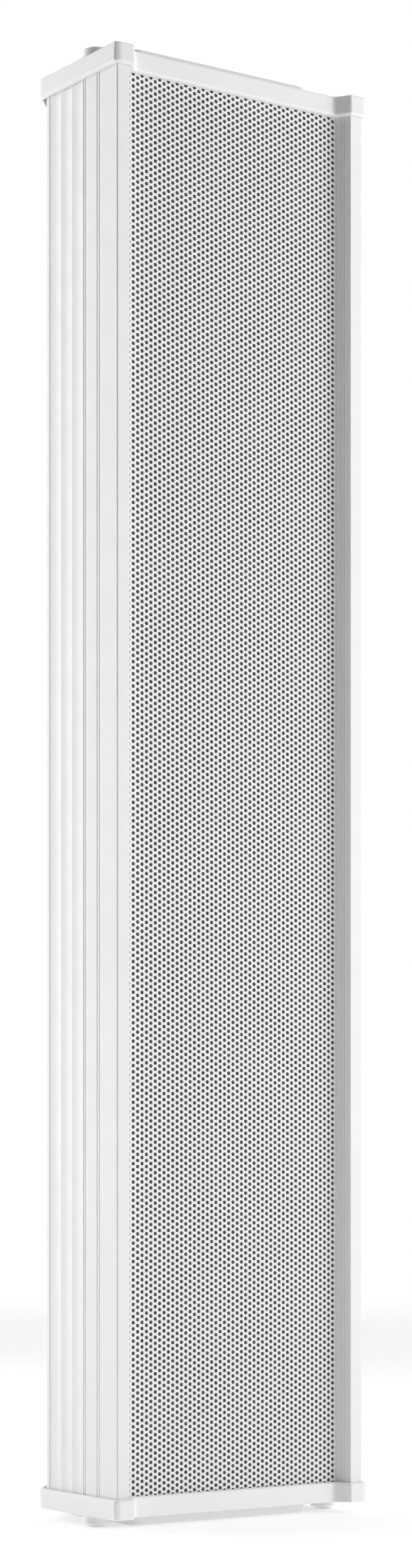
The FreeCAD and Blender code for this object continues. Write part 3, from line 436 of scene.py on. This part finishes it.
def grille_margins(low, high, first, last, reach, is_lowest, is_highest):
    """Quads, as (x, z) corners, between the outermost cells and the sheet's edges."""
    quads = []
    half = reach / 2
    edge_x = COLUMNS_EACH_SIDE * COLUMN_STEP
    for row in range(first, last):
        z = FIRST_ROW + row * PITCH
        for side, border in ((1, high.x), (-1, low.x)):
            for rise in (1, -1):
                quad = [
                    (side * (edge_x + half), z + rise * PITCH / 2),
                    (side * (edge_x + reach), z),
                    (border, z),
                    (border, z + rise * PITCH / 2),
                ]
                quads.append(quad if side * rise > 0 else quad[::-1])
    for end, is_end, turn in ((low.z, is_lowest, -1), (high.z, is_highest, 1)):
        if not is_end:
            continue
        upper = turn > 0
        # the cells' outer level in the even columns, and half a pitch inside it in the odd ones
        row = last - 1 if upper else first
        level = FIRST_ROW + row * PITCH + turn * PITCH / 2
        for k in range(-COLUMNS_EACH_SIDE, COLUMNS_EACH_SIDE + 1):
            x = k * COLUMN_STEP
            if k % 2:
                inner = level - turn * PITCH / 2
                quad = [(x - half, inner), (x + half, inner), (x + reach, level), (x - reach, level)]
                quads.append(quad if upper else quad[::-1])
        stops = [low.x]
        for k in range(-COLUMNS_EACH_SIDE, COLUMNS_EACH_SIDE + 1):
            if k % 2 == 0:
                stops += [k * COLUMN_STEP - half, k * COLUMN_STEP + half]
        stops.append(high.x)
        for left, right in zip(stops, stops[1:]):
            quad = [(left, level), (right, level), (right, end), (left, end)]
            quads.append(quad if upper else quad[::-1])
    return np.array(quads, float).reshape(-1, 4, 2)


CLOTH_THICKNESS = 0.26 * MM
CLOTH_RIPPLE = 0.04 * MM
CLOTH_WAVES = (9 * MM, 13 * MM)  # across and up
CLOTH_CELLS = (40, 200)
CLOTH_CREASE = math.radians(50)


def make_cloth():
    """The acoustic cloth, stretched behind the grille."""
    low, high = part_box("grille_cloth")
    across, up = CLOTH_CELLS
    x = np.linspace(low.x, high.x, across + 1)
    z = np.linspace(low.z, high.z, up + 1)
    grid_x, grid_z = np.meshgrid(x, z)
    ripple = CLOTH_RIPPLE * np.sin(grid_x / CLOTH_WAVES[0]) * np.sin(grid_z / CLOTH_WAVES[1])
    middle, half_thick = (low.y + high.y) / 2, CLOTH_THICKNESS / 2
    layers = []
    for side in (-1, 1):
        layer = np.stack([grid_x, middle + ripple + side * half_thick, grid_z], 2)
        layers.append(layer.reshape(-1, 3))
    points = np.concatenate(layers)
    count = len(layers[0])
    rows, columns = np.meshgrid(np.arange(up), np.arange(across), indexing="ij")
    a = (rows * (across + 1) + columns).ravel()
    b, c, d = a + 1, a + across + 2, a + across + 1
    front = np.concatenate([np.stack([a, b, c], 1), np.stack([a, c, d], 1)])
    loop = list(range(across + 1))
    loop += [(across + 1) * r + across for r in range(1, up + 1)]
    loop += [(across + 1) * up + c for c in range(across - 1, -1, -1)]
    loop += [(across + 1) * r for r in range(up - 1, 0, -1)]
    loop = np.array(loop)
    after = np.roll(loop, -1)
    hem = [np.stack([after, loop, loop + count], 1), np.stack([after, loop + count, after + count], 1)]
    piece = new_piece("stretched_cloth", "cabinet", "grille_cloth", ["grille_cloth"])
    fill_mesh(piece.data, points, np.concatenate([front, (front + count)[:, ::-1], *hem]))
    piece.data.shade_smooth()
    piece.data.set_sharp_from_angle(angle=CLOTH_CREASE)


WADDING_VOXEL = 2.5 * MM
WADDING_SQUARENESS = 7.0  # the superellipsoid's power: higher is boxier
WADDING_FILL = 0.965  # its share of the CAD solid's size, before the lumps
WADDING_LUMP = 0.012


def make_wadding():
    """The block of wadding: soft corners and a lumpy surface, inside its CAD solid."""
    low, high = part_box("damping_pad")
    centre, half = (low + high) / 2, (high - low) / 2
    bpy.ops.mesh.primitive_cube_add(size=2.0)
    piece = bpy.context.object
    piece.name = "wadding_block"
    piece.data.name = "wadding_block"
    for vertex in piece.data.vertices:
        vertex.co = Vector((vertex.co.x * half.x, vertex.co.y * half.y, vertex.co.z * half.z))
    remesh = piece.modifiers.new("remesh", "REMESH")
    remesh.mode = "VOXEL"
    remesh.voxel_size = WADDING_VOXEL
    bpy.ops.object.modifier_apply(modifier=remesh.name)
    power = WADDING_SQUARENESS
    for vertex in piece.data.vertices:
        x, y, z = vertex.co
        size = sum(abs(c / h) ** power for c, h in zip((x, y, z), half)) ** (1 / power)
        lump = math.sin(x * 210 + 1.3) * math.sin(z * 160) + math.sin(z * 75 + y * 90)
        scale = (WADDING_FILL + WADDING_LUMP * lump) / max(size, 1.0)
        vertex.co = vertex.co * scale + centre
    piece.data.materials.clear()
    piece.data.materials.append(FINISHES["wadding"])
    piece.data.shade_smooth()
    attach(piece, "cabinet")
    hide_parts("damping_pad")


make_grille()
make_cloth()
make_wadding()


# ---------------------------------------------------------------- floor and light
FLOOR_REACH = 3.0
FLOOR_FADE = (0.3 * FLOOR_REACH, 0.8 * FLOOR_REACH)  # solid up to the first, gone by the second
FLOOR_GLOW = 0.35


def make_floor():
    """A pale round floor that fades out far from the object."""
    rings, spokes = 24, 96
    points, faces = [(0.0, 0.0, 0.0)], []
    for ring in range(1, rings + 1):
        radius = FLOOR_REACH * ring / rings
        points += [
            (radius * math.cos(2 * math.pi * s / spokes), radius * math.sin(2 * math.pi * s / spokes), 0.0)
            for s in range(spokes)
        ]
    for s in range(spokes):
        faces.append((0, 1 + s, 1 + (s + 1) % spokes))
    for ring in range(rings - 1):
        near, far = 1 + ring * spokes, 1 + (ring + 1) * spokes
        for s in range(spokes):
            t = (s + 1) % spokes
            faces.append((near + s, far + s, far + t, near + t))
    mesh = bpy.data.meshes.new("floor")
    mesh.from_pydata(points, [], faces)
    floor = bpy.data.objects.new("floor", mesh)
    bpy.context.scene.collection.objects.link(floor)

    material = bpy.data.materials.new("floor")
    material.use_nodes = True
    nodes, links = material.node_tree.nodes, material.node_tree.links
    shader = next(n for n in nodes if n.type == "BSDF_PRINCIPLED")
    shader.inputs["Base Color"].default_value = (0.8, 0.8, 0.8, 1.0)
    shader.inputs["Roughness"].default_value = 0.9
    shader.inputs["Specular IOR Level"].default_value = 0.1
    shader.inputs["Emission Color"].default_value = (1.0, 1.0, 1.0, 1.0)
    shader.inputs["Emission Strength"].default_value = FLOOR_GLOW
    place = nodes.new("ShaderNodeTexCoord").outputs["Object"]
    length = nodes.new("ShaderNodeVectorMath")
    length.operation = "LENGTH"
    links.new(place, length.inputs[0])
    fade = nodes.new("ShaderNodeMapRange")
    fade.interpolation_type = "SMOOTHSTEP"
    fade.inputs["From Min"].default_value = FLOOR_FADE[0]
    fade.inputs["From Max"].default_value = FLOOR_FADE[1]
    fade.inputs["To Min"].default_value = 1.0
    fade.inputs["To Max"].default_value = 0.0
    links.new(length.outputs["Value"], fade.inputs["Value"])
    links.new(fade.outputs["Result"], shader.inputs["Alpha"])
    mesh.materials.append(material)


WORLD_FILL = 0.70  # the room's light from most directions
WORLD_SHADE = 0.0  # and from the side that the object is seen from
SHADE_SIDE = Vector((-0.57, -0.82, 0.0))


def make_world():
    """White to look at. Its light is dimmer from the front left, which models the object's edges."""
    world = bpy.data.worlds.new("studio")
    bpy.context.scene.world = world
    world.use_nodes = True
    nodes, links = world.node_tree.nodes, world.node_tree.links
    nodes.clear()
    direction = nodes.new("ShaderNodeTexCoord").outputs["Generated"]
    dot = nodes.new("ShaderNodeVectorMath")
    dot.operation = "DOT_PRODUCT"
    dot.inputs[1].default_value = SHADE_SIDE.normalized()
    links.new(direction, dot.inputs[0])
    span = nodes.new("ShaderNodeMapRange")
    span.interpolation_type = "SMOOTHSTEP"
    span.inputs["From Min"].default_value = 0.1
    span.inputs["From Max"].default_value = 0.9
    span.inputs["To Min"].default_value = WORLD_FILL
    span.inputs["To Max"].default_value = WORLD_SHADE
    links.new(dot.outputs["Value"], span.inputs["Value"])
    light = nodes.new("ShaderNodeBackground")
    links.new(span.outputs["Result"], light.inputs["Strength"])
    seen = nodes.new("ShaderNodeBackground")
    seen.inputs["Strength"].default_value = 1.0
    seen.inputs["Color"].default_value = (1.0, 1.0, 1.0, 1.0)
    mix = nodes.new("ShaderNodeMixShader")
    links.new(nodes.new("ShaderNodeLightPath").outputs["Is Camera Ray"], mix.inputs["Fac"])
    links.new(light.outputs["Background"], mix.inputs[1])
    links.new(seen.outputs["Background"], mix.inputs[2])
    output = nodes.new("ShaderNodeOutputWorld")
    links.new(mix.outputs["Shader"], output.inputs["Surface"])


LAMP_AIM = Vector((0.0, 0.0, 0.36))  # about the middle of the column
SIDE_LAMP = (0.7, 1.4)  # width and height
TOP_LAMP = (1.6, 1.6)
LAMPS = (
    # name, azimuth and elevation in degrees, distance, size, watts; azimuth 0 is the front, 90 the right
    ("left_box", -125, 12, 1.3, SIDE_LAMP, 4.0),
    ("left_rear_box", -155, 12, 1.3, SIDE_LAMP, 8.4),
    ("right_box", 36, 12, 1.1, SIDE_LAMP, 8.8),
    ("far_right_box", 75, 12, 1.1, SIDE_LAMP, 1.5),
    ("top_box", 160, 72, 2.0, TOP_LAMP, 7.0),
)


def softbox(name, azimuth, elevation, distance, size, power):
    """A rectangular light that faces the aim point."""
    a, e = math.radians(azimuth), math.radians(elevation)
    back = Vector((math.sin(a) * math.cos(e), -math.cos(a) * math.cos(e), math.sin(e)))
    data = bpy.data.lights.new(name, "AREA")
    data.shape = "RECTANGLE"
    data.size, data.size_y = size
    data.energy = power
    lamp = bpy.data.objects.new(name, data)
    lamp.location = LAMP_AIM + back * distance
    lamp.rotation_euler = (-back).to_track_quat("-Z", "Y").to_euler()
    bpy.context.scene.collection.objects.link(lamp)


make_floor()
make_world()
for lamp_settings in LAMPS:
    softbox(*lamp_settings)
